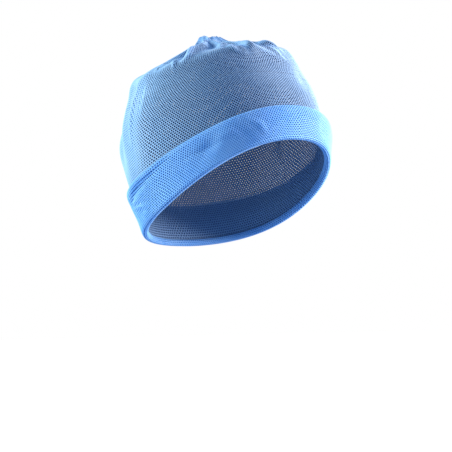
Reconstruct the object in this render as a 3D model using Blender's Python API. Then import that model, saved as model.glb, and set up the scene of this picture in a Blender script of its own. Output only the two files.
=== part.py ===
# Disposable knitted-net cap with a turned-up cuff, filled out as in use.
# Metres, +Z up, front towards -Y. The origin is the middle of the opening, at the rim's height at the
# sides. Round the cap, angles run from the front (0) by its left side (90, +X) to the back (180).
import math

import bmesh
import bpy
import numpy as np

MM = 0.001

# Walls and gaps, in millimetres
CROWN_WALL = 1.2
CUFF_WALL = 2.2
CLEARANCE = 0.4  # between the crown and the cuff round it

# The plan of every ring is a little squarer than an ellipse, and widest behind its middle
PLAN_POWER = 2.2
PLAN_EGG = -0.035
FACETS_ROUND = 80

# Rings of the crown's cloth from the rim up, in millimetres. front_y and back_y are where a ring crosses
# the middle line, half_width is half its breadth, and the last three columns are its heights at the
# front, at the sides and at the back.
RINGS = [
    # front_y, back_y, half_width, front_z, side_z, back_z
    (-91, 90, 75, 60, 5, -31),      # rim
    (-89, 99, 76, 73, 21, -11),     # middle of the cuff
    (-84, 109, 80, 85, 36, 6),      # top of the cuff
    (-76, 119, 82, 101, 60, 30),    # slack over the cuff
    (-67, 122, 82, 112, 83, 58),    # bag at the back
    (-58, 117, 75, 122, 107, 89),
    (-48, 109, 71, 133, 122, 112),  # back corner
    (-40, 82, 54, 145, 133, 125),   # shoulder
    (-15, 61, 31, 147, 144, 137),
    (12, 54, 17, 152, 151, 146),    # gathered bunch
    (29, 49, 7, 158, 156, 154),
]
GATHER = (-3, 40, 151)  # the middle of the closed top, a dimple in the bunch
RIM_LEVEL = 0
CUFF_TOP_LEVEL = 2

# Levels at which the crown is faceted: the steps shorten where the cloth bends most. A level is a row's
# place in the table of rings, or a place between two rows.
LEVEL_RUNS = [
    # first level, last level, steps
    (0, 2, 5),
    (2, 7, 11),
    (7, 10, 9),
]

# Radial pleats that the gathers throw. They are strongest at the top and die out at the level end_level.
PLEATS = [
    # angle, height, half_width, end_level
    (-98, 6.5, 6, 5.8),
    (-74, 8.0, 9, 6.0),
    (-38, 5.0, 11, 7.2),
    (-13, 7.5, 7, 5.8),
    (11, 7.0, 7, 5.6),
    (36, 5.5, 9, 5.6),
    (64, 5.0, 8, 6.2),
    (94, 7.0, 9, 6.0),
    (122, 6.0, 9, 6.4),
    (150, 7.0, 9, 6.0),
    (177, 6.0, 9, 6.4),
    (-154, 7.0, 9, 6.0),
    (-124, 6.5, 8, 5.8),
]
PLEAT_LEVELS = (6, 8, 10)  # where the cloth starts to sink between pleats, is fullest, and is gathered
PLEAT_SINK = 3.2  # how far the cloth between two pleats lies under the smooth form
GATHERED_SHARE = 0.4  # what is left of a pleat's height, and of the sink, at the gathered top

# Folds and hollows of the slack sides. A fold leans by lean degrees for each level that it rises.
FOLDS = [
    # angle, level, height, half_width, half_rise, lean
    (-117, 4.9, 2.2, 4.5, 1.5, -1.5),   # ridge under the back corner
    (-127, 4.6, -3.5, 5.5, 1.3, -2.0),  # valley behind it
    (-142, 3.7, 4.0, 13, 0.7, 0.0),     # slack that hangs over the cuff
    (-168, 4.4, -3.5, 8, 1.4, 3.0),
    (172, 3.6, 4.0, 12, 1.0, 2.0),
    (146, 4.8, -3.0, 9, 1.2, 3.0),
    (120, 3.6, 3.5, 12, 1.0, 0.0),
    (96, 5.0, -2.5, 9, 1.2, -3.0),
    (-92, 5.6, -1.8, 8, 0.8, 4.0),
    (24, 4.4, -1.8, 8, 1.0, 4.0),
    (62, 4.2, 2.0, 10, 1.0, 3.0),
]

# The cuff's outer face stands off the crown by these distances, from the rim to its top edge
CUFF_STANDOFF = [
    # level, standoff
    (0.0, 3.4),
    (1.0, 4.6),
    (1.75, 5.2),
    (2.0, 4.4),
]
CUFF_FOLDS = [
    # angle, level, height, half_width, half_rise, lean
    (44, 1.6, 1.2, 22, 0.9, 0.0),      # stands clear at the front left
    (-108, 1.55, -1.8, 15, 0.2, 22.0),  # groove under the top edge
    (-58, 1.0, -1.5, 6, 0.5, 7.0),
    (-44, 1.2, 1.2, 6, 0.6, 7.0),
    (-28, 0.8, -1.0, 6, 0.5, 6.0),
    (2, 1.1, 1.2, 9, 0.7, -5.0),
    (24, 0.9, -1.0, 7, 0.6, 6.0),
    (86, 1.0, -1.6, 8, 0.7, -8.0),
    (112, 1.2, 1.6, 9, 0.6, 6.0),
    (140, 0.9, -1.6, 8, 0.6, 8.0),
    (172, 1.1, 1.6, 12, 0.7, 0.0),
    (-150, 0.9, -1.6, 8, 0.6, -8.0),
    (-128, 1.1, 1.4, 8, 0.6, 0.0),
]
# The roll at the rim, as steps down from the crown's lower edge and out from the crown's outer face
ROLL_OUTSIDE = [
    # down, out
    (2.2, 2.6),
    (3.4, 0.6),
    (3.2, -1.6),
    (1.4, -3.0),
    (-1.6, -3.2),
]
ROLL_INSIDE = [
    # down, out
    (-1.6, -1.6),
    (0.7, -1.2),
    (1.2, -0.2),
    (0.6, 0.7),
]
EDGE_RISE = 0.8  # the cuff's soft top edge rises this far above its two faces

COLOURS = {"crown": (0.30, 0.50, 0.78, 1), "cuff": (0.24, 0.50, 0.86, 1)}
ROUGHNESS = 0.85
SHARP_ANGLE = 60  # degrees between faces past which an edge isn't smoothed


def between(rows, level):
    """A row of the table at a level between its rows, on a smooth curve through them."""
    rows = np.asarray(rows, float)
    low = min(int(level), len(rows) - 2)
    part = level - low
    start, end = rows[low], rows[low + 1]
    before = rows[low - 1] if low > 0 else 2 * start - end
    after = rows[low + 2] if low + 2 < len(rows) else 2 * end - start
    return start + 0.5 * part * (
        end - before
        + part * (2 * before - 5 * start + 4 * end - after
                  + part * (3 * (start - end) + after - before)))


def ring(level, angles):
    """The smooth ring of the crown at a level, in millimetres."""
    front_y, back_y, half_width, front_z, side_z, back_z = between(RINGS, level)
    ahead, aside = np.cos(angles), np.sin(angles)
    lengthwise = np.sign(ahead) * np.abs(ahead) ** (2 / PLAN_POWER)
    sideways = np.sign(aside) * np.abs(aside) ** (2 / PLAN_POWER)
    x = half_width * sideways * (1 + PLAN_EGG * lengthwise)
    y = (front_y + back_y) / 2 - (back_y - front_y) / 2 * lengthwise
    tilt = (front_z - back_z) / 2
    arch = (front_z + back_z) / 2 - side_z
    return np.stack([x, y, side_z + tilt * lengthwise + arch * lengthwise ** 2], axis=-1)


def bell(distance, half_width):
    return np.exp(-(distance / half_width) ** 2)


def turn_between(angles, middle):
    """Degrees from a middle angle to each angle, between -180 and 180."""
    return (np.degrees(angles) - middle + 180) % 360 - 180


def pleat_height(angles, level):
    """How far the pleats lift the top of the crown."""
    lift = np.zeros_like(angles)
    for angle, height, half_width, end_level in PLEATS:
        grown = np.interp(level, (end_level,) + PLEAT_LEVELS[1:], (0, 1, GATHERED_SHARE))
        lift += grown * height * bell(turn_between(angles, angle), half_width)
    return lift - PLEAT_SINK * np.interp(level, PLEAT_LEVELS, (0, 1, GATHERED_SHARE))


def fold_height(folds, angles, level):
    """How far the folds of a table lift or sink the cloth."""
    lift = np.zeros_like(angles)
    for angle, fold_level, height, half_width, half_rise, lean in folds:
        rise = level - fold_level
        across = turn_between(angles, angle + lean * rise)
        lift += height * bell(across, half_width) * bell(rise, half_rise)
    return lift


def outward(grid):
    """Unit vectors that point out of a grid of rings."""
    along = np.gradient(grid, axis=0)
    round_it = np.roll(grid, -1, axis=1) - np.roll(grid, 1, axis=1)
    normals = np.cross(round_it, along)
    return normals / np.linalg.norm(normals, axis=-1, keepdims=True)


def crown_grid(levels, angles):
    """The crown's outer face with its pleats and folds: rings by points, in millimetres."""
    smooth = np.array([ring(level, angles) for level in levels])
    lift = np.array([
        pleat_height(angles, level) + fold_height(FOLDS, angles, level) for level in levels])
    return smooth + outward(smooth) * lift[..., None]


def round_angles():
    return np.arange(FACETS_ROUND) * math.tau / FACETS_ROUND


def crown_levels():
    levels = [0.0]
    for first, last, steps in LEVEL_RUNS:
        levels += [first + (last - first) * (i + 1) / steps for i in range(steps)]
    return levels


def new_object(name, bm):
    mesh = bpy.data.meshes.new(name)
    bm.to_mesh(mesh)
    bm.free()
    mesh.shade_smooth()
    mesh.set_sharp_from_angle(angle=math.radians(SHARP_ANGLE))
    material = bpy.data.materials.new(name)
    material.use_nodes = True
    shader = material.node_tree.nodes["Principled BSDF"]
    shader.inputs["Base Color"].default_value = COLOURS[name]
    shader.inputs["Roughness"].default_value = ROUGHNESS
    shader.inputs["Metallic"].default_value = 0
    mesh.materials.append(material)
    made = bpy.data.objects.new(name, mesh)
    bpy.context.scene.collection.objects.link(made)
    return made


def add_rings(bm, rings):
    """Adds rings of points, joined by a strip of faces from each ring to the next."""
    made = [[bm.verts.new(point * MM) for point in points] for points in rings]
    for lower, upper in zip(made, made[1:]):
        join(bm, lower, upper)
    return made


def join(bm, lower, upper):
    count = len(lower)
    for i in range(count):
        after = (i + 1) % count
        bm.faces.new((lower[i], lower[after], upper[after], upper[i]))


def make_crown():
    """The net bag: one sheet, closed at the gathered top and thickened inwards."""
    bm = bmesh.new()
    rings = add_rings(bm, crown_grid(crown_levels(), round_angles()))
    middle = bm.verts.new(np.array(GATHER) * MM)
    top = rings[-1]
    for i, vert in enumerate(top):
        bm.faces.new((vert, top[(i + 1) % len(top)], middle))
    crown = new_object("crown", bm)
    wall = crown.modifiers.new("wall", "SOLIDIFY")
    wall.thickness = CROWN_WALL * MM
    wall.offset = -1
    wall.use_even_offset = True
    return crown


def cuff_section(angles):
    """Rings of the cuff, from its top edge down outside, round the roll and up inside."""
    levels = crown_levels()
    under = crown_grid(levels, angles)
    normals = outward(under)
    rim_normals = normals[RIM_LEVEL]
    down = under[RIM_LEVEL] - under[RIM_LEVEL + 1]
    down -= rim_normals * np.sum(down * rim_normals, axis=-1, keepdims=True)
    down /= np.linalg.norm(down, axis=-1, keepdims=True)

    outside, inside = [], []
    for row, level in enumerate(levels):
        if level > CUFF_TOP_LEVEL:
            break
        stand_levels, stand_heights = np.transpose(CUFF_STANDOFF)
        standoff = np.interp(level, stand_levels, stand_heights) + fold_height(
            CUFF_FOLDS, angles, level)
        standoff = np.maximum(standoff, CUFF_WALL + CLEARANCE)[:, None]
        outside.append(under[row] + normals[row] * standoff)
        inside.append(under[row] + normals[row] * (standoff - CUFF_WALL))

    roll = [
        under[RIM_LEVEL] + down * low + rim_normals * far for low, far in ROLL_OUTSIDE + ROLL_INSIDE]
    top_edge = (outside[-1] + inside[-1]) / 2 - down * EDGE_RISE
    return [top_edge] + outside[::-1] + roll + inside


def make_cuff():
    """The turned-up band, closed round its rolled lower edge."""
    bm = bmesh.new()
    rings = add_rings(bm, cuff_section(round_angles()))
    join(bm, rings[-1], rings[0])
    bmesh.ops.reverse_faces(bm, faces=bm.faces)
    return new_object("cuff", bm)


for old in list(bpy.data.objects):
    bpy.data.objects.remove(old, do_unlink=True)
make_crown()
make_cuff()
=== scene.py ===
import math

import bpy
import numpy as np
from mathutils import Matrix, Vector


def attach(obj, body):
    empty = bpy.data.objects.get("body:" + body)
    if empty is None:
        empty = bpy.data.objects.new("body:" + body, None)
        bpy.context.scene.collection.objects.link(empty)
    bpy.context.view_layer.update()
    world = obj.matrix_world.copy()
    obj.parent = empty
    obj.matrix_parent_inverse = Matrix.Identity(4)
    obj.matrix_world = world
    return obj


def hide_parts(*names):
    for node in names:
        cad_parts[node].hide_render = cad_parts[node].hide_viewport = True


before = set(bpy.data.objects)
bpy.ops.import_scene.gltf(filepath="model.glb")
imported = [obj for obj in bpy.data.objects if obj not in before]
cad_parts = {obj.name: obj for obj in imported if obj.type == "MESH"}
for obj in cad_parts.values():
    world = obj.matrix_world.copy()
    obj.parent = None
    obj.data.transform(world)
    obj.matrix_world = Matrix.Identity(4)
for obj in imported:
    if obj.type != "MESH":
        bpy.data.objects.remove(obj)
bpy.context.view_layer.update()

# Lengths in the tables are in millimetres and angles in degrees. Round the cap, 0 is the front (-Y), 90 its
# left side (+X) and 180 the back. A level is a place in the table of rings, as in the part's source.
mm = 0.001

capShape = {
    "planPower": 2.2,   # a ring's plan: a little squarer than an ellipse
    "planEgg": -0.035,  # and widest behind its middle
    "rings": [
        # frontY, backY, halfWidth, frontZ, sideZ, backZ
        (-91, 90, 75, 60, 5, -31),      # rim
        (-89, 99, 76, 73, 21, -11),     # middle of the cuff
        (-84, 109, 80, 85, 36, 6),      # top of the cuff
        (-76, 119, 82, 101, 60, 30),    # slack over the cuff
        (-67, 122, 82, 112, 83, 58),    # bag at the back
        (-58, 117, 75, 122, 107, 89),
        (-48, 109, 71, 133, 122, 112),  # back corner
        (-40, 82, 54, 145, 133, 125),   # shoulder
        (-15, 61, 31, 147, 144, 137),
        (12, 54, 17, 152, 151, 146),    # gathered bunch
        (29, 49, 7, 158, 156, 154),
    ],
    "gather": (-3, 40, 151),
    "pleats": [
        # angle, height, halfWidth, endLevel
        (-98, 6.5, 6, 5.8), (-74, 8.0, 9, 6.0), (-38, 5.0, 11, 7.2), (-13, 7.5, 7, 5.8),
        (11, 7.0, 7, 5.6), (36, 5.5, 9, 5.6), (64, 5.0, 8, 6.2), (94, 7.0, 9, 6.0),
        (122, 6.0, 9, 6.4), (150, 7.0, 9, 6.0), (177, 6.0, 9, 6.4), (-154, 7.0, 9, 6.0),
        (-124, 6.5, 8, 5.8),
    ],
    "pleatLevels": (6, 8, 9.2),  # where the cloth starts to sink between pleats, is fullest, is gathered
    "pleatSink": 3.2,
    "gatheredShare": 0.12,
    "folds": [
        # angle, level, height, halfWidth, halfRise, lean
        (-117, 4.9, 2.2, 4.5, 1.5, -1.5), (-127, 4.6, -3.5, 5.5, 1.3, -2.0),
        (-142, 3.7, 4.0, 13, 0.7, 0.0), (-168, 4.4, -3.5, 8, 1.4, 3.0),
        (172, 3.6, 4.0, 12, 1.0, 2.0), (146, 4.8, -3.0, 9, 1.2, 3.0),
        (120, 3.6, 3.5, 12, 1.0, 0.0), (96, 5.0, -2.5, 9, 1.2, -3.0),
        (-92, 5.6, -1.8, 8, 0.8, 4.0), (24, 4.4, -1.8, 8, 1.0, 4.0),
        (62, 4.2, 2.0, 10, 1.0, 3.0),
    ],
    "creases": [
        # height, halfWidth, line of (angle, level)
        (5.4, 8.5, [(-112, 9.3), (-90, 9.6), (-60, 9.9)]),               # lobe of the tuft
        (1.8, 2.4, [(-75, 9.3), (-50, 9.1), (-48, 8.2), (-40, 6.9)]),    # crest that runs down from it
        (-0.9, 3.0, [(-100, 8.5), (-75, 8.1), (-60, 8.3), (-52, 8.8)]),  # hollow under it
        (1.6, 2.6, [(-16, 8.9), (-26, 7.9), (-33, 7.1), (-25, 6.5), (-18, 6.2)]),
        (-2.2, 3.0, [(-14, 8.8), (-17, 7.9), (-18, 6.9), (-13, 6.2)]),
        (1.6, 2.4, [(-11, 6.8), (-4, 6.6), (3, 6.3), (8, 5.9)]),
        (-2.0, 2.6, [(-8, 7.1), (6, 7.0), (14, 6.5), (18, 6.1)]),
        (1.4, 5.0, [(-6, 7.6), (10, 7.4), (24, 7.0)]),
        (-4.0, 3.2, [(-90, 7.5), (-78, 6.9), (-71, 6.4)]),               # pocket on the right side
        (2.4, 3.4, [(-92, 8.1), (-78, 7.5), (-67, 6.7), (-64, 6.1)]),
        (1.5, 1.8, [(-80, 6.6), (-72, 6.1), (-70, 5.5)]),
        (1.2, 1.8, [(-93, 6.6), (-89, 6.0)]),
        (2.4, 2.6, [(-103, 5.6), (-105, 4.8), (-103, 4.0), (-104, 3.2)]),  # ridge in front of the bag
        (-1.1, 2.2, [(-97, 5.7), (-98, 5.1), (-97, 4.6), (-94, 4.0)]),
        (1.6, 2.2, [(-128, 4.0), (-118, 3.7)]),
        (2.0, 3.0, [(-140, 8.2), (-146, 7.2), (-148, 6.2)]),
        (-2.0, 3.0, [(172, 8.4), (166, 7.2), (160, 6.2)]),
        (1.8, 2.6, [(140, 8.2), (132, 7.0), (130, 5.6)]),
        (1.8, 2.6, [(84, 8.3), (78, 7.1), (80, 5.8)]),
        (-1.6, 2.6, [(52, 8.3), (50, 7.1), (46, 6.2)]),
        (1.8, 3.4, [(150, 5.4), (153, 4.6), (154, 3.8)]),
        (1.6, 3.2, [(104, 4.4), (101, 3.6), (100, 2.8)]),
    ],
}

cuffShape = {
    "topLevel": 2,
    "standoff": [
        # level, distance of the outer face from the crown
        (0.0, 3.4), (1.0, 4.6), (1.75, 5.2), (2.0, 4.4),
    ],
    "least": 2.6,  # the outer face keeps at least this far off the crown
    "folds": [
        # angle, level, height, halfWidth, halfRise, lean
        (44, 1.6, 1.2, 22, 0.9, 0.0), (-108, 1.55, -1.8, 15, 0.2, 22.0),
        (-58, 1.0, -1.5, 6, 0.5, 7.0), (-46, 1.2, 1.0, 6, 0.6, 7.0),
        (-33, 0.8, -0.7, 7, 0.5, 6.0), (2, 1.1, 0.6, 12, 0.7, -5.0),
        (24, 0.9, -1.0, 7, 0.6, 6.0), (86, 1.0, -1.6, 8, 0.7, -8.0),
        (112, 1.2, 1.6, 9, 0.6, 6.0), (140, 0.9, -1.6, 8, 0.6, 8.0),
        (172, 1.1, 1.6, 12, 0.7, 0.0), (-150, 0.9, -1.6, 8, 0.6, -8.0),
        (-128, 1.1, 1.4, 8, 0.6, 0.0),
    ],
    "creases": [
        # height, halfWidth, line of (angle, level)
        (-2.4, 2.0, [(-124, 1.4), (-117, 1.6), (-108, 1.68), (-100, 1.72), (-90, 1.76), (-80, 1.82)]),
        (0.9, 2.0, [(-114, 1.95), (-95, 1.97), (-78, 1.98), (-60, 1.98)]),
        (-0.9, 2.4, [(-72, 1.33), (-62, 1.12), (-54, 1.0), (-45, 0.93), (-34, 0.78)]),
        (-0.5, 2.4, [(-42, 1.95), (-39, 1.5), (-34, 0.8), (-31, 0.4)]),
        (-1.4, 1.8, [(-127, 1.28), (-114, 0.93), (-104, 0.58)]),
        (1.2, 2.0, [(-122, 1.05), (-110, 0.72), (-102, 0.4)]),
        (-1.0, 1.8, [(-120, 0.75), (-108, 0.35)]),
        (1.0, 2.6, [(-30, 1.6), (-24, 1.0), (-22, 0.5)]),
        (-1.1, 3.2, [(60, 1.9), (65, 1.3), (69, 0.6)]),
        (1.1, 3.4, [(96, 1.8), (100, 1.2), (103, 0.5)]),
        (-1.2, 3.2, [(128, 1.9), (131, 1.2), (133, 0.5)]),
        (1.2, 3.4, [(164, 1.8), (170, 1.1), (175, 0.5)]),
        (-1.2, 3.2, [(-168, 1.9), (-164, 1.2), (-161, 0.6)]),
    ],
    "section": [
        # level, down, out: from inside the roll, round it, up the outer face and over the top edge
        (0, -1.6, -3.2), (0, 1.4, -3.0), (0, 3.2, -1.6), (0, 3.4, 0.6), (0, 2.2, 2.6), (0, 0.0, 3.3),
        (0.5, 0, 3.9), (1.0, 0, 4.6), (1.5, 0, 5.0), (1.85, 0, 5.0), (2.0, -0.3, 4.2), (2.0, -0.8, 3.3),
        (2.0, 0.3, 2.3),
    ],
}


def alongTable(rows, place):
    # Rows of a table at any places between them, on a smooth curve
    rows = np.asarray(rows, float)
    low = np.clip(np.floor(place).astype(int), 0, len(rows) - 2)
    part = (place - low)[..., None]
    start, end = rows[low], rows[low + 1]
    before = np.where((low > 0)[..., None], rows[np.maximum(low - 1, 0)], 2 * start - end)
    last = len(rows) - 1
    after = np.where((low + 2 <= last)[..., None], rows[np.minimum(low + 2, last)], 2 * end - start)
    return start + 0.5 * part * (
        end - before
        + part * (2 * before - 5 * start + 4 * end - after
                  + part * (3 * (start - end) + after - before)))


def smoothCloth(level, angle):
    # The crown's smooth form at levels and angles, in millimetres
    frontY, backY, halfWidth, frontZ, sideZ, backZ = np.moveaxis(
        alongTable(capShape["rings"], level), -1, 0)
    turn = np.radians(angle)
    ahead, aside = np.cos(turn), np.sin(turn)
    power = 2 / capShape["planPower"]
    lengthwise = np.sign(ahead) * np.abs(ahead) ** power
    sideways = np.sign(aside) * np.abs(aside) ** power
    tilt = (frontZ - backZ) / 2
    arch = (frontZ + backZ) / 2 - sideZ
    return np.stack([
        halfWidth * sideways * (1 + capShape["planEgg"] * lengthwise),
        (frontY + backY) / 2 - (backY - frontY) / 2 * lengthwise,
        sideZ + tilt * lengthwise + arch * lengthwise ** 2], axis=-1)


def unit(vectors):
    return vectors / np.maximum(np.linalg.norm(vectors, axis=-1, keepdims=True), 1e-9)


def smoothNormal(level, angle, step=0.05):
    topLevel = len(capShape["rings"]) - 1
    up = smoothCloth(np.minimum(level + step, topLevel), angle) - smoothCloth(
        np.maximum(level - step, 0), angle)
    sideways = smoothCloth(level, angle + 20 * step) - smoothCloth(level, angle - 20 * step)
    return unit(np.cross(sideways, up))


def bell(distance, halfWidth):
    return np.exp(-(distance / halfWidth) ** 2)


def turnBetween(angle, middle):
    return (angle - middle + 180) % 360 - 180


def foldLift(folds, level, angle):
    lift = np.zeros(np.broadcast(level, angle).shape)
    for foldAngle, foldLevel, height, halfWidth, halfRise, lean in folds:
        rise = level - foldLevel
        lift += height * bell(turnBetween(angle, foldAngle + lean * rise), halfWidth) * bell(rise, halfRise)
    return lift


creaseLines = {
    "reach": 1.2,    # levels past the ends of a line that its crease still touches
    "parts": 4,      # straight parts between two entries of a line
    "fading": 0.45,  # share of a line's length over which a crease fades from its middle
    "far": 99.0,     # farther than any crease reaches
}


def creaseLift(creases, level, angle):
    # Narrow ridges and hollows along lines on the cloth, highest in the middle of each line
    reach = creaseLines["reach"]
    lift = np.zeros(np.broadcast(level, angle).shape)
    for height, halfWidth, line in creases:
        angles, levels = np.transpose(line)
        near = (level > levels.min() - reach) & (level < levels.max() + reach)
        cloth = smoothCloth(level[near], angle[near])
        parts = creaseLines["parts"] * (len(line) - 1)
        steps = np.linspace(0, len(line) - 1, parts + 1)
        entries = range(len(line))
        knots = smoothCloth(np.interp(steps, entries, levels), np.interp(steps, entries, angles))
        away, share = np.full(len(cloth), creaseLines["far"]), np.zeros(len(cloth))
        for part, (start, end) in enumerate(zip(knots, knots[1:])):
            along = np.clip((cloth - start) @ (end - start) / np.sum((end - start) ** 2), 0, 1)
            distance = np.linalg.norm(cloth - start - along[:, None] * (end - start), axis=-1)
            share = np.where(distance < away, (part + along) / parts, share)
            away = np.minimum(away, distance)
        lift[near] += height * bell(away, halfWidth) * bell(share - 0.5, creaseLines["fading"])
    return lift


def pleatLift(level, angle):
    gathered = capShape["gatheredShare"]
    fullLevels = capShape["pleatLevels"]
    lift = np.zeros(np.broadcast(level, angle).shape)
    for pleatAngle, height, halfWidth, endLevel in capShape["pleats"]:
        grown = np.interp(level, (endLevel,) + fullLevels[1:], (0, 1, gathered))
        lift += grown * height * bell(turnBetween(angle, pleatAngle), halfWidth)
    return lift - capShape["pleatSink"] * np.interp(level, fullLevels, (0, 1, gathered))


def crownPoint(level, angle):
    lift = pleatLift(level, angle) + foldLift(capShape["folds"], level, angle)
    lift += creaseLift(capShape["creases"], level, angle)
    return smoothCloth(level, angle) + smoothNormal(level, angle) * lift[..., None]


def cuffPoint(place, angle):
    # A point of the cuff's outer skin, at a place in the table of its section
    level, down, out = np.moveaxis(alongTable(cuffShape["section"], place), -1, 0)
    level = np.clip(level, 0, cuffShape["topLevel"])
    normal = smoothNormal(level, angle)
    rim = smoothCloth(0 * level, angle) - smoothCloth(0 * level + 0.2, angle)
    rimDown = unit(rim - normal * np.sum(rim * normal, axis=-1, keepdims=True))
    fullLift = foldLift(cuffShape["folds"], level, angle) + creaseLift(cuffShape["creases"], level, angle)
    lift = np.maximum(out + fullLift, np.minimum(out, cuffShape["least"]))
    return crownPoint(level, angle) + rimDown * down[..., None] + normal * lift[..., None]


def normalOf(pointAt, place, angle, places):
    # The way out of a surface, by small steps that stay between its first and last place
    step = 0.03
    up = pointAt(np.minimum(place + step, places[1]), angle) - pointAt(
        np.maximum(place - step, places[0]), angle)
    sideways = pointAt(place, angle + 10 * step) - pointAt(place, angle - 10 * step)
    return unit(np.cross(sideways, up))


def evenRows(pointAt, places, pitch):
    # How many rows a pitch apart fit between two places, and the place of any row
    steps = np.linspace(*places, 400)
    angles = np.arange(0, 360, 7.5)
    grid = pointAt(np.repeat(steps[:, None], len(angles), axis=1), np.tile(angles, (len(steps), 1)))
    run = np.linalg.norm(np.diff(grid, axis=0), axis=-1).mean(axis=1)
    length = np.concatenate([[0], np.cumsum(run)])
    count = int(round(length[-1] / pitch))
    placeOfRow = np.interp(np.linspace(0, length[-1], 400), length, steps)
    return count, lambda row: np.interp(row, np.linspace(0, count, 400), placeOfRow)


def newMesh(name, points, faces, material, inside=None, maps=None):
    mesh = bpy.data.meshes.new(name)
    mesh.from_pydata((np.asarray(points) * mm).tolist(), [], faces)
    if inside is not None:
        side = mesh.attributes.new("inside", "FLOAT", "POINT")
        side.data.foreach_set("value", np.asarray(inside, np.float32))
    for mapName, places in (maps or {}).items():
        layer = mesh.uv_layers.new(name=mapName)
        layer.uv.foreach_set("vector", np.asarray(places, np.float32).ravel())
    mesh.shade_smooth()
    mesh.materials.append(material)
    made = bpy.data.objects.new(name, mesh)
    bpy.context.scene.collection.objects.link(made)
    return made


cell = {
    "tip": 1 / 6,                # how far a cell's corners go up and down from their ring, in rows
    "holeLimits": (0.05, 0.86),  # the smallest and largest share of a cell that its hole takes
    "holeRise": 0.92,            # a hole is a little lower than its cell's form
    "holeShift": 0.6,            # how far holes wander, against how much their sizes vary
    "endLap": 0.3,               # room for the end faces in the bake's map, in rows
    "mapMargin": 1.5,            # and beside its seam, in columns
}


def knitNet(name, material, net, rows, surface, straightEnds=(False, False)):
    # Open knit as a closed solid: staggered six-sided cells, each with a hole whose edge lies between the
    # strands' outer and inner faces. surface turns a row and a turn (0 to 1, from the back by the right
    # side to the front and on) into a point and the way out.
    columns, (firstRow, lastRow) = net["columns"], rows
    around = 2 * columns
    half = np.arange(around)
    rings = []
    for edge in range(firstRow, lastRow + 1):
        zigzag = np.where(half % 2 == (edge - 1) % 2, cell["tip"], -cell["tip"])
        straight = edge == firstRow and straightEnds[0] or edge == lastRow and straightEnds[1]
        rings.append(edge + (0 * zigzag if straight else zigzag))
    rings = np.array(rings)
    ringTurn = np.tile(half / around, (len(rings), 1))
    ringPoints, ringNormals = surface(rings, ringTurn)
    outer, inner = ringPoints, ringPoints - ringNormals * net["wall"]

    # The six corners of each cell, and the hole's own corners between them and the middle
    random = np.random.default_rng(net["seed"])
    cellRow, cellColumn = np.meshgrid(np.arange(firstRow, lastRow), np.arange(columns), indexing="ij")
    middle = 2 * cellColumn + cellRow % 2
    low = cellRow - firstRow
    corners = [(1, 0), (1, 1), (0, 1), (0, 0), (0, -1), (1, -1)]
    cornerRing = np.stack([low + ring for ring, _ in corners], axis=-1)
    cornerHalf = np.stack([middle + step for _, step in corners], axis=-1)
    cornerHeight = rings[cornerRing, cornerHalf % around]
    middleHeight = cornerHeight.mean(axis=-1)
    size = net["open"](middleHeight, middle / around)
    size = size * (1 + net["uneven"] * random.standard_normal(size.shape))
    size = np.clip(size, *cell["holeLimits"])[..., None]
    shift = net["uneven"] * cell["holeShift"] * random.standard_normal(cellRow.shape + (2, 1))
    holeHeight = middleHeight[..., None] + size * cell["holeRise"] * (
        cornerHeight - middleHeight[..., None]) + shift[..., 0, :]
    holeHalf = middle[..., None] + size * (cornerHalf - middle[..., None]) + shift[..., 1, :]
    holes, holeNormals = surface(holeHeight, holeHalf / around)
    holes -= holeNormals * net["wall"] * net["holeDepth"]

    ringCount, holeCount = rings.size, holeHeight.size
    points = np.concatenate([outer.reshape(-1, 3), inner.reshape(-1, 3), holes.reshape(-1, 3)])
    # Painted shade on the hole edges: each edge gets a share of it that grows with its hole's size
    edgeShade = np.repeat(np.clip(size / net["fullHole"], 0, 1), 6)  # small holes in bunched cloth stay pale
    # The inside attribute masks the painted shade: 0 on the outer faces, 2 on the inner faces, and on each
    # hole's edge its share of shade
    inside = np.concatenate([np.repeat([0, 2], ringCount), edgeShade])
    corner = cornerRing * around + cornerHalf % around
    hole = 2 * ringCount + np.arange(holeCount).reshape(corner.shape)
    nextCorner, nextHole = np.roll(corner, -1, axis=-1), np.roll(hole, -1, axis=-1)
    outerFaces = np.stack([corner, hole, nextHole, nextCorner], axis=-1).reshape(-1, 4)
    innerFaces = np.stack([corner + ringCount, nextCorner + ringCount, nextHole, hole],
                          axis=-1).reshape(-1, 4)
    first, last = half, half + ringCount - around
    after = (half + 1) % around
    firstEnd = np.stack([first, first + ringCount, after + ringCount, after], axis=-1)
    lastEnd = np.stack([last, last - half + after, last - half + after + ringCount, last + ringCount],
                       axis=-1)
    faces = np.concatenate([outerFaces, innerFaces, firstEnd, lastEnd])

    # The maps unroll the tube. The bake's holds the outer faces below the inner ones.
    ringPlaces = np.stack([ringTurn.ravel(), rings.ravel()], axis=-1)
    holePlaces = np.stack([holeHalf.ravel() / around, holeHeight.ravel()], axis=-1)
    places = np.concatenate([ringPlaces, ringPlaces, holePlaces])[faces]
    across = places[..., 0]
    across += across.max(axis=1, keepdims=True) - across > 0.5  # a face that crosses the seam
    across -= across.min(axis=1, keepdims=True) > 1
    innerStart, endStart = len(outerFaces), len(outerFaces) + len(innerFaces)
    bake = places.copy()
    bake[endStart:endStart + around, 1:3, 1] -= cell["endLap"]
    bake[endStart + around:, 2:, 1] += cell["endLap"]
    margin = cell["mapMargin"] / columns
    bake[..., 0] = (bake[..., 0] + margin) / (1 + 3 * margin)
    bake[..., 1] = 0.01 + 0.47 * (bake[..., 1] - firstRow + 0.5) / (lastRow - firstRow + 1)
    bake[innerStart:endStart, :, 1] += 0.5
    made = newMesh(name, points, faces.tolist(), material, inside,
                   {"OFBake": bake, "cloth": places * [columns, 1]})
    print(name, "made with", 2 * len(faces), "triangles")
    return made


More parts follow.
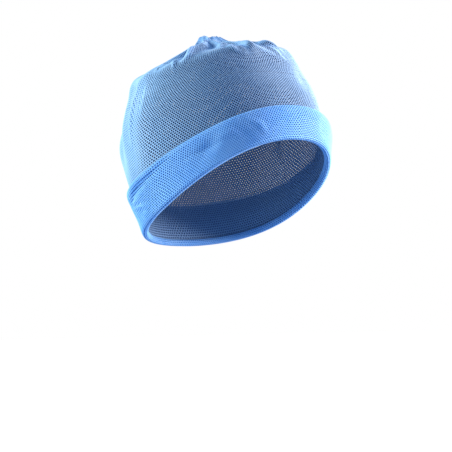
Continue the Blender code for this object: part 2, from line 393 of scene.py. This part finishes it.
def denseCloth(name, material, rings, wall, tip=None):
    # Cloth without holes as a closed solid, from rings of points. It ends in an edge, or closes at a tip.
    rows, columns = rings.shape[:2]
    around = np.concatenate([rings[:, -1:], rings, rings[:, :1]], axis=1)
    normals = unit(np.cross(around[:, 2:] - around[:, :-2], np.gradient(rings, axis=0)))
    inner = rings - normals * wall
    count = rows * columns
    row, column = np.meshgrid(np.arange(rows - 1), np.arange(columns), indexing="ij")
    here, beside = row * columns + column, row * columns + (column + 1) % columns
    outerFaces = np.stack([here, beside, beside + columns, here + columns], axis=-1).reshape(-1, 4)
    first, firstBeside = here[0], beside[0]
    last, lastBeside = here[-1] + columns, beside[-1] + columns
    firstEnd = np.stack([first, first + count, firstBeside + count, firstBeside], axis=-1)
    faces = [outerFaces, outerFaces[:, ::-1] + count, firstEnd]
    points = [rings.reshape(-1, 3), inner.reshape(-1, 3)]
    if tip is None:
        faces.append(np.stack([last, lastBeside, lastBeside + count, last + count], axis=-1))
    else:
        points.append([tip, np.subtract(tip, (0, 0, wall))])
        outerTip, innerTip = np.full(columns, 2 * count), np.full(columns, 2 * count + 1)
        faces.append(np.stack([last, lastBeside, outerTip], axis=-1))
        faces.append(np.stack([lastBeside + count, last + count, innerTip], axis=-1))

    # The maps unroll the tube. A face's place is the average column and row of its own corners.
    places = np.stack(np.meshgrid(np.arange(columns) / columns, np.arange(rows) / rows), axis=-1)
    places = places.reshape(-1, 2)
    places = np.concatenate([places, places, [[0, 1], [0, 1]]])
    cloth, bake = [], []
    for side, group in enumerate(faces):
        corners = places[group]
        across = corners[..., 0]
        across += across.max(axis=1, keepdims=True) - across > 0.5
        if group.shape[1] == 3:
            across[:, 2] = across[:, :2].mean(axis=1)
        cloth.append(corners.reshape(-1, 2) * [columns, rows])
        margin = cell["mapMargin"] / columns
        inBake = np.stack([(across + margin) / (1 + 3 * margin), 0.02 + 0.44 * corners[..., 1]], axis=-1)
        inBake[..., 1] += 0.5 * (side in (1, 4))
        if side == 2:
            inBake[:, 1:3, 1] -= 0.01
        if side == 3 and tip is None:
            inBake[:, 2:, 1] += 0.01
        bake.append(inBake.reshape(-1, 2))
    faceList = [face for group in faces for face in group.tolist()]
    made = newMesh(name, np.concatenate(points), faceList, material, None,
                   {"OFBake": np.concatenate(bake), "cloth": np.concatenate(cloth)})
    print(name, "made with", sum(len(face) - 2 for face in faceList), "triangles")
    return made


class Field:
    # One output of a node. Sums, differences and products of fields add Math nodes.
    def __init__(self, graph, socket):
        self.graph, self.socket = graph, socket

    def __add__(self, other):
        return self.graph.maths("ADD", self, other)

    def __sub__(self, other):
        return self.graph.maths("SUBTRACT", self, other)

    def __mul__(self, other):
        return self.graph.maths("MULTIPLY", self, other)

    __radd__ = __add__


class Graph:
    # The nodes of one material
    def __init__(self, name):
        self.material = bpy.data.materials.new(name)
        self.material.use_nodes = True
        self.nodes = self.material.node_tree.nodes
        self.links = self.material.node_tree.links
        self.shader = self.nodes["Principled BSDF"]

    def add(self, kind, settings=None, sockets=None, output=0):
        node = self.nodes.new(kind)
        for name, value in (settings or {}).items():
            if name == "stops":
                ramp = node.color_ramp
                while len(ramp.elements) < len(value):
                    ramp.elements.new(0.5)
                for element, (place, colour) in zip(ramp.elements, value):
                    element.position, element.color = place, colour
            else:
                setattr(node, name, value)
        self.fill(node, sockets or {})
        return Field(self, node.outputs[output])

    def fill(self, node, sockets):
        for name, value in sockets.items():
            if isinstance(value, Field):
                self.links.new(value.socket, node.inputs[name])
            else:
                node.inputs[name].default_value = value

    def maths(self, operation, *values):
        return self.add("ShaderNodeMath", {"operation": operation}, dict(enumerate(values)))

    def blend(self, share, first, second):
        # Two colours mixed by a share
        return self.add("ShaderNodeMix", {"data_type": "RGBA"}, {0: share, 6: first, 7: second}, 2)


netLook = {
    # hole and edge: painted shade on the sides of the holes; inner: painted shade on the inner faces, the
    # hollow's shadow; lit and deep: lighter and deeper dye, mixed at random
    "crown": {"lit": (0.34, 0.52, 0.75, 1), "deep": (0.18, 0.40, 0.70, 1), "hole": (0.01, 0.04, 0.12, 1),
              "inner": (0.14, 0.27, 0.48, 1), "edge": (0.12, 0.45)},
    "cuff": {"lit": (0.29, 0.56, 0.87, 1), "deep": (0.07, 0.32, 0.81, 1), "hole": (0.05, 0.21, 0.66, 1),
             "inner": (0.13, 0.26, 0.50, 1), "edge": (0.5, 1.0)},
    "gather": {"lit": (0.19, 0.39, 0.66, 1), "deep": (0.11, 0.27, 0.52, 1)},
    "layer": {"lit": (0.09, 0.27, 0.70, 1), "deep": (0.05, 0.19, 0.58, 1)},
    "roughness": 0.78,
    "sheen": 0.1,
    "mottle": 28,   # patches of lighter and deeper dye, per metre
    "fibre": 2600,  # filaments in a strand, per metre
    "litBy": {"patches": 0.9, "filaments": 0.35, "stitches": 0.35, "less": 0.3},
    "litByRibs": {"ribs": 1.4, "less": 0.85},
    "ribFilaments": 0.3,  # how much the filaments add to the height of the ribs
    "roughBy": {"filaments": 0.2, "less": 0.1},
    "bumpStrength": 0.6,
    "filamentDepth": 0.00006,  # metres
    "ribs": (0.45, 0.12, 1),  # how fine the ribs of dense cloth are across and along
    "ribDepth": 0.0004,
}


def knitMaterial(name, colours, dense=False):
    # Strands lighter than the sides of their holes and than their inner faces, which carry painted shade.
    # Dense cloth has no holes, only the ribs of its stitches.
    graph = Graph(name)
    place = graph.add("ShaderNodeTexCoord", output=3)
    patches = graph.add("ShaderNodeTexNoise", None, {
        "Vector": place, "Scale": netLook["mottle"], "Detail": 3.0, "Roughness": 0.6})
    filaments = graph.add("ShaderNodeTexNoise", None, {
        "Vector": place, "Scale": netLook["fibre"], "Detail": 2.0, "Roughness": 0.7})
    weave = graph.add("ShaderNodeUVMap", {"uv_map": "cloth"})
    uneven = graph.add("ShaderNodeTexNoise", {"noise_dimensions": "2D"}, {
        "Vector": weave, "Scale": 0.9, "Detail": 2.0})
    litBy, litByRibs, roughBy = netLook["litBy"], netLook["litByRibs"], netLook["roughBy"]
    shade = patches * litBy["patches"] + filaments * litBy["filaments"] + uneven * litBy["stitches"]
    shade = shade - litBy["less"]
    height, depth = filaments, netLook["filamentDepth"]
    if dense:
        stretched = graph.add("ShaderNodeMapping", None, {"Vector": weave, "Scale": netLook["ribs"]})
        ribs = graph.add("ShaderNodeTexNoise", {"noise_dimensions": "2D"}, {
            "Vector": stretched, "Scale": 1.0, "Detail": 3.0, "Roughness": 0.65})
        shade = shade + ribs * litByRibs["ribs"] - litByRibs["less"]
        height, depth = ribs + filaments * netLook["ribFilaments"], netLook["ribDepth"]
    clamped = graph.add("ShaderNodeClamp", None, {"Value": shade})
    colour = graph.blend(clamped, colours["deep"], colours["lit"])
    if not dense:
        # Painted shade: the sides of the holes darken towards the hole colour, between the two shares of
        # edge
        inside = graph.add("ShaderNodeAttribute", {"attribute_name": "inside"}, output=2)
        sunk = graph.add("ShaderNodeMapRange", {"interpolation_type": "SMOOTHSTEP"}, {
            "Value": inside, "From Min": colours["edge"][0], "From Max": colours["edge"][1]})
        # Painted shade on the inner faces: they darken towards the inner colour
        paintedInnerShade = graph.add("ShaderNodeMapRange", None, {
            "Value": inside, "From Min": 1.0, "From Max": 1.5})
        colour = graph.blend(paintedInnerShade, graph.blend(sunk, colour, colours["hole"]), colours["inner"])
    rough = netLook["roughness"] + filaments * roughBy["filaments"] - roughBy["less"]
    bump = graph.add("ShaderNodeBump", None, {
        "Height": height, "Distance": depth, "Strength": netLook["bumpStrength"]})
    graph.fill(graph.shader, {
        "Base Color": colour, "Roughness": rough, "Normal": bump,
        "Sheen Weight": netLook["sheen"], "Sheen Roughness": 0.4, "Specular IOR Level": 0.25})
    return graph.material


crownMaterial = knitMaterial("crownKnit", netLook["crown"])
cuffMaterial = knitMaterial("cuffKnit", netLook["cuff"])
gatherMaterial = knitMaterial("gatheredKnit", netLook["gather"], dense=True)
layerMaterial = knitMaterial("cuffLayerKnit", netLook["layer"], dense=True)
print("materials made")

crownNet = {
    "columns": 216,
    "pitch": 1.95,      # between rows
    "wall": 1.1,        # through the cloth
    "holeDepth": 0.6,   # how deep in the wall a hole's edge lies
    "uneven": 0.05,
    "seed": 11,
    # fullHole: how open a hole must be for its edge to get the full painted shade
    "fullHole": 0.33,   # the openness from which a hole's edge is fully dark
    "bottom": 0.15,     # the level where the net starts
    "openAtLevels": ((0, 2, 6.5, 8.4, 9.1), (0.33, 0.33, 0.32, 0.24, 0.12)),
    "tautAngle": -20,   # where the cloth is tautest
    "openFromTaut": ((0, 40, 75, 180), (1.15, 1.1, 0.74, 0.68)),
    "closing": 0.7,     # how far bunched cloth closes its holes
    "bunchingCrease": 2,  # the height of a crease that bunches its cloth fully
    "bunched": [
        # angle, level, halfWidth, halfRise, share
        (-120, 4.4, 19, 2.6, 1), (-104, 4.4, 8, 2.4, 1), (42, 4.6, 14, 2.0, 0.4), (168, 4.4, 12, 1.2, 0.8),
        (108, 5.0, 9, 1.0, 0.8),
    ],
    "splits": (2, 4.6, 6.8),  # levels at which the net is divided into pieces
    "top": 9.1,
}


def crownOpenness(level, angle):
    # The share of a cell that its hole takes: most where the cloth is taut, least where creases bunch it
    level, angle = np.broadcast_arrays(level, angle)
    fromTaut = np.abs(turnBetween(angle, crownNet["tautAngle"]))
    taut = np.interp(level, *crownNet["openAtLevels"]) * np.interp(fromTaut, *crownNet["openFromTaut"])
    bunched = np.abs(creaseLift(capShape["creases"], level, angle)) / crownNet["bunchingCrease"]
    for spotAngle, spotLevel, halfWidth, halfRise, share in crownNet["bunched"]:
        bunched += share * bell(turnBetween(angle, spotAngle), halfWidth) * bell(level - spotLevel, halfRise)
    return taut * (1 - crownNet["closing"] * np.clip(bunched, 0, 1))


def netSurface(pointAt, placeOfRow, places):
    def at(row, turn):
        place, angle = placeOfRow(row), 360 * turn - 180
        return pointAt(place, angle), normalOf(pointAt, place, angle, places)
    return at


def makeCrown():
    places = (crownNet["bottom"], crownNet["top"])
    rows, placeOfRow = evenRows(crownPoint, places, crownNet["pitch"])
    surface = netSurface(crownPoint, placeOfRow, (0, len(capShape["rings"]) - 1))
    levels = placeOfRow(np.arange(rows + 1))
    splits = [0] + [int(np.searchsorted(levels, level)) for level in crownNet["splits"]] + [rows]
    net = dict(crownNet, open=lambda row, turn: crownOpenness(placeOfRow(row), 360 * turn - 180))
    names = ("crown_inner_band", "crown_side_net", "crown_shoulder_net", "crown_top_net")
    return [knitNet(name, crownMaterial, net, (first, last), surface, (first == 0, last == rows))
            for name, first, last in zip(names, splits, splits[1:])]


crownPieces = makeCrown()

cuffNet = {
    "columns": 232,
    "pitch": 1.95,
    "wall": 0.9,
    "holeDepth": 0.6,
    "uneven": 0.05,
    "seed": 23,
    "fullHole": 0.36,
    "openness": 0.40,
    "lastPlace": 12.0,  # the last row of the section's table
}


def makeCuff():
    places = (0, cuffNet["lastPlace"])
    rows, placeOfRow = evenRows(cuffPoint, places, cuffNet["pitch"])
    net = dict(cuffNet, open=lambda row, turn: cuffNet["openness"] + 0 * row)
    surface = netSurface(cuffPoint, placeOfRow, places)
    return knitNet("cuff_outer_net", cuffMaterial, net, (0, rows), surface, (True, True))


cuffOuter = makeCuff()

secondLayer = {
    "columns": 320,
    "rows": 30,
    "levels": (0, 1.88),  # it ends inside the outer net's top roll
    "inset": 1.7,         # inside the outer net's face
    "wall": 0.5,
}


def makeSecondLayer():
    # The cuff's inner layer of cloth, which shuts the view through its holes
    angles = np.arange(secondLayer["columns"]) * 360 / secondLayer["columns"] - 180
    levels = np.linspace(*secondLayer["levels"], secondLayer["rows"])
    level, angle = np.meshgrid(levels, angles, indexing="ij")
    standLevels, stands = np.transpose(cuffShape["standoff"])
    out = np.interp(level, standLevels, stands) + foldLift(cuffShape["folds"], level, angle)
    out = np.maximum(out + creaseLift(cuffShape["creases"], level, angle), cuffShape["least"])
    out -= secondLayer["inset"]
    rings = crownPoint(level, angle) + smoothNormal(level, angle) * out[..., None]
    return denseCloth("cuff_second_layer", layerMaterial, rings, secondLayer["wall"])


cuffSecondLayer = makeSecondLayer()

gatheredTop = {
    "columns": 288,
    "rows": 22,
    "levels": (8.95, 10),
    "puckers": 26,
    "puckerHeight": 0.12,
    "puckerDrift": (1.5, 5),  # how unevenly they are spaced, and how many times round
    "grownOver": 0.3,         # the levels over which they reach their height
    "endShare": 0.8,          # and what is left of it at the last ring
    "under": 0.5,             # its first ring lies under the net's last one
    "wall": 0.3,
    "dimple": [
        # share of the last ring's width, drop
        (0.82, -0.6), (0.62, -1.3), (0.42, -1.7), (0.2, -1.4),
    ],
}


def makeGatheredTop():
    # The gathered top: cloth too tightly puckered for its holes to show, drawn into a dimple
    angles = np.arange(gatheredTop["columns"]) * 360 / gatheredTop["columns"] - 180
    start, end = gatheredTop["levels"]
    level, angle = np.meshgrid(np.linspace(start, end, gatheredTop["rows"]), angles, indexing="ij")
    drift, times = gatheredTop["puckerDrift"]
    wave = np.cos(np.radians(angle) * gatheredTop["puckers"] + drift * np.sin(np.radians(times * angle)))
    grownLevels = (start, start + gatheredTop["grownOver"], end)
    grown = np.interp(level, grownLevels, (0, 1, gatheredTop["endShare"]))
    lift = grown * gatheredTop["puckerHeight"] * wave - gatheredTop["under"] * (1 - grown)
    rings = crownPoint(level, angle) + smoothNormal(level, angle) * lift[..., None]
    middle = np.array(capShape["gather"], float)
    sunk = [middle + (rings[-1] - middle) * share + (0, 0, drop) for share, drop in gatheredTop["dimple"]]
    rings = np.concatenate([rings, sunk])
    return denseCloth("crown_gather", gatherMaterial, rings, gatheredTop["wall"], middle)


crownGather = makeGatheredTop()

for piece in crownPieces + [crownGather, cuffOuter, cuffSecondLayer]:
    node = piece.name.split("_")[0]
    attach(piece, "root")
    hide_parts(node)
print("pieces declared")

studio = {
    "floorZ": -1.25,  # metres, far below the cap, which is held up as on a head
    "floorSize": 60,
    "floorGlow": 0.95,
    "ambient": (0.37, 0.53, 0.82, 1),
    "aim": (0, 0.01, 0.07),
    "lights": [
        # name, place, size, power, colour
        ("key", (2.00, -1.68, 0.65), 1.7, 265, (1, 0.80, 0.70)),
        ("fill", (-1.88, 1.48, 0.5), 1.5, 102, (0.97, 0.98, 0.82)),
    ],
}


def makeStudio():
    bpy.ops.object.select_all(action="DESELECT")
    bpy.ops.mesh.primitive_plane_add(size=studio["floorSize"], location=(0, 0, studio["floorZ"]))
    floor = bpy.context.object
    floor.name = "floor"
    paper = Graph("palePaper")
    grain = paper.add("ShaderNodeTexNoise", None, {"Scale": 3.0})
    paper.fill(paper.shader, {
        "Base Color": paper.blend(grain, (0.93, 0.93, 0.93, 1), (0.96, 0.96, 0.96, 1)), "Roughness": 0.9,
        "Emission Color": (1, 1, 1, 1), "Emission Strength": studio["floorGlow"]})
    floor.data.materials.append(paper.material)
    for ray in ("diffuse", "glossy", "transmission", "volume_scatter", "shadow"):
        setattr(floor, "visible_" + ray, False)
    world = bpy.data.worlds.new("studioWorld")
    world.use_nodes = True
    nodes, links = world.node_tree.nodes, world.node_tree.links
    dim = nodes["Background"]
    dim.inputs["Color"].default_value = studio["ambient"]
    white, rays, either = (
        nodes.new("ShaderNode" + kind) for kind in ("Background", "LightPath", "MixShader"))
    white.inputs["Color"].default_value = (1, 1, 1, 1)
    links.new(rays.outputs["Is Camera Ray"], either.inputs[0])
    links.new(dim.outputs[0], either.inputs[1])
    links.new(white.outputs[0], either.inputs[2])
    links.new(either.outputs[0], nodes["World Output"].inputs["Surface"])
    bpy.context.scene.world = world
    for name, place, size, power, colour in studio["lights"]:
        lamp = bpy.data.lights.new(name, "AREA")
        lamp.shape, lamp.size, lamp.energy, lamp.color = "DISK", size, power, colour
        holder = bpy.data.objects.new(name, lamp)
        holder.location = place
        towards = np.array(studio["aim"]) - np.array(place)
        holder.rotation_mode = "QUATERNION"
        holder.rotation_quaternion = Vector(towards).to_track_quat("-Z", "Y")
        bpy.context.scene.collection.objects.link(holder)
    bpy.context.scene.view_settings.view_transform = "Standard"


view = {
    "azimuth": -35.33, "elevation": -1.44, "distance": 1.8,
    "aim": (-0.00031, 0.01592, -0.0167),
    "lens": 156.3, "sensor": 36,
}


def makeCamera():
    azimuth, elevation = math.radians(view["azimuth"]), math.radians(view["elevation"])
    back = Vector((math.sin(azimuth) * math.cos(elevation), -math.cos(azimuth) * math.cos(elevation),
                   math.sin(elevation)))
    camera = bpy.data.objects.new("camera", bpy.data.cameras.new("camera"))
    camera.data.lens, camera.data.sensor_width = view["lens"], view["sensor"]
    camera.location = Vector(view["aim"]) + back * view["distance"]
    camera.rotation_mode = "QUATERNION"
    camera.rotation_quaternion = (-back).to_track_quat("-Z", "Y")
    bpy.context.scene.collection.objects.link(camera)
    bpy.context.scene.camera = camera


makeStudio()
makeCamera()
print("studio and camera made")
